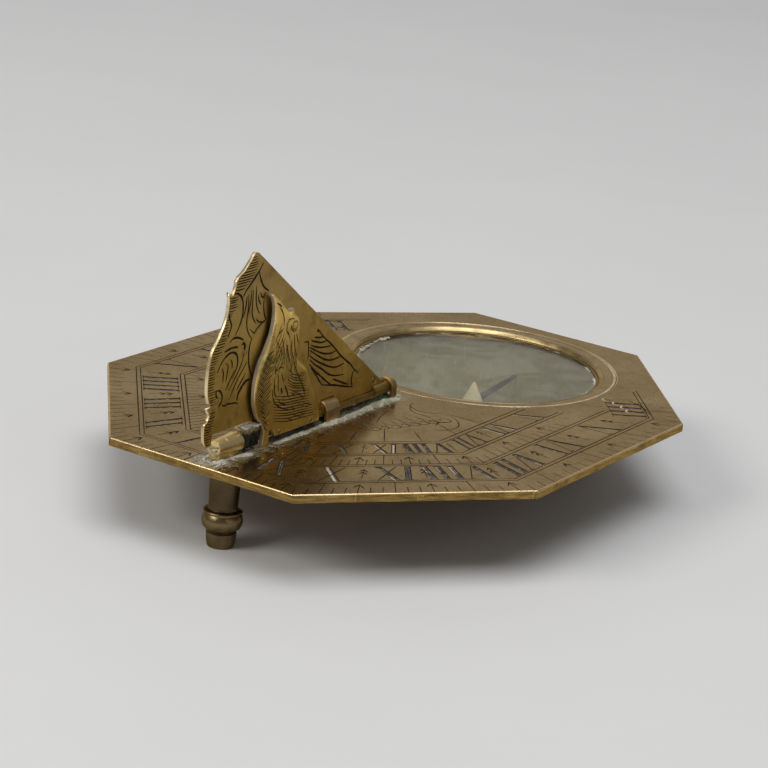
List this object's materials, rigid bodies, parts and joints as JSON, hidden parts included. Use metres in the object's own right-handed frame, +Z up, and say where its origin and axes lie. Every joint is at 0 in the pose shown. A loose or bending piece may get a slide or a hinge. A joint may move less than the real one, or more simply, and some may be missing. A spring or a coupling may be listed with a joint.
{
  "type": "pocket sundial",
  "caption": "Octagonal brass pocket sundial with a folding bird gnomon that tilts for latitude, a sunk glazed compass and a turned foot.",
  "frame": {"origin": "on the surface that the dial stands on, under the middle of the octagonal plate", "axes": "+Z up, +Y along the noon line towards the compass (south), +X towards the morning hours (west)"},
  "size_m": [0.0586, 0.076, 0.0324],
  "materials": {
    "aged_brass": "old brass, brown-olive patina, fine scratches, polished rims",
    "gold_brass": "worn golden brass with brown in the engraving",
    "dark_brass": "dull dark brown brass, lightly scratched",
    "card_brass": "matt silvered brass gone grey-green, engraved rose",
    "pale_brass": "pale polished brass",
    "steel": "dull dark steel",
    "blued_steel": "blued steel, dulled",
    "corroded_steel": "corroded dark steel with green and white deposits",
    "old_glass": "old thin glass, slightly clouded and dusty"
  },
  "bodies": {
    "base": {"dial_plate": "aged_brass", "bezel_ring": "gold_brass", "glass_ring": "gold_brass", "compass_glass": "old_glass", "compass_bowl": "dark_brass", "compass_card": "card_brass", "pivot_pin": "steel", "foot": "dark_brass", "north_barrel": "gold_brass", "leaf_spring": "steel", "middle_strap": "gold_brass", "toe_strap": "gold_brass"},
    "gnomon": {"hinge_bar": "aged_brass", "cam_block": "corroded_steel", "gnomon_leaf": "gold_brass", "bird": "gold_brass", "cheek_rivets": "gold_brass", "toe_rivet": "gold_brass"},
    "style": {"style_plate": "gold_brass"},
    "compass_needle": {"needle": "blued_steel", "needle_cap": "pale_brass"}
  },
  "joints": [
    {"name": "gnomon_fold", "type": "hinge", "parent": "base", "child": "gnomon", "pos_m": [0, 0, 0.0116], "axis": [0, -1, 0], "range_deg": [0, 90]},
    {"name": "latitude_tilt", "type": "hinge", "parent": "gnomon", "child": "style", "pos_m": [0, -0.0052, 0.01295], "axis": [-1, 0, 0], "range_deg": [0, 24]},
    {"name": "needle_spin", "type": "hinge", "parent": "base", "child": "compass_needle", "pos_m": [0, 0.0185, 0.0052], "axis": [0, 0, 1], "continuous": true}
  ]
}
